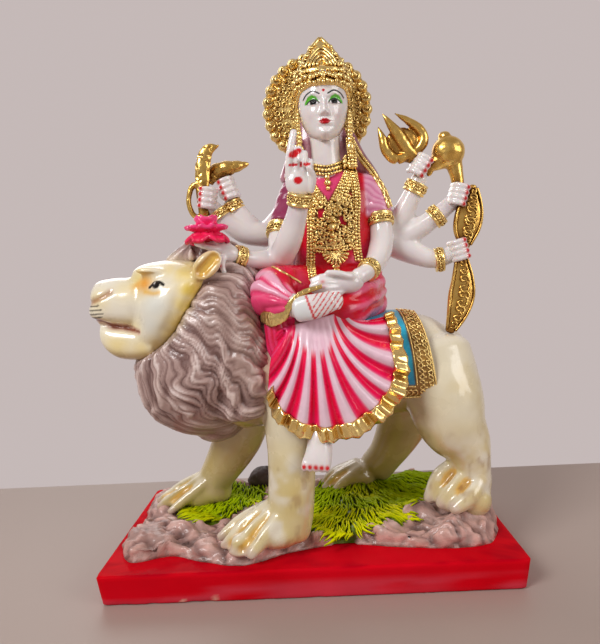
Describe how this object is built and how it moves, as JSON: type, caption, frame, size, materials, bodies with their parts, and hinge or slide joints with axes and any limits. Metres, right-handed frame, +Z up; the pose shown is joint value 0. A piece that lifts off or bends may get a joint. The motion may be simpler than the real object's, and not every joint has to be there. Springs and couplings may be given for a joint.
{
  "type": "durga figure",
  "caption": "Painted cast figure of a many-armed goddess seated side-saddle on a standing lion, on rock and grass, with a slab plinth.",
  "frame": {"origin": "centre of the plinth's underside", "axes": "+Z up, -Y towards the goddess's front, -X towards the lion's face"},
  "size_m": [0.2232, 0.12, 0.2969],
  "materials": {
    "red_lacquer": "glossy crimson paint on cast resin, worn at the edges",
    "painted_cast": "varnished hand painting on cast resin: white, cream, crimson, gold, mauve and green"
  },
  "bodies": {
    "root": {"plinth": "red_lacquer", "figure": "painted_cast"}
  },
  "joints": []
}
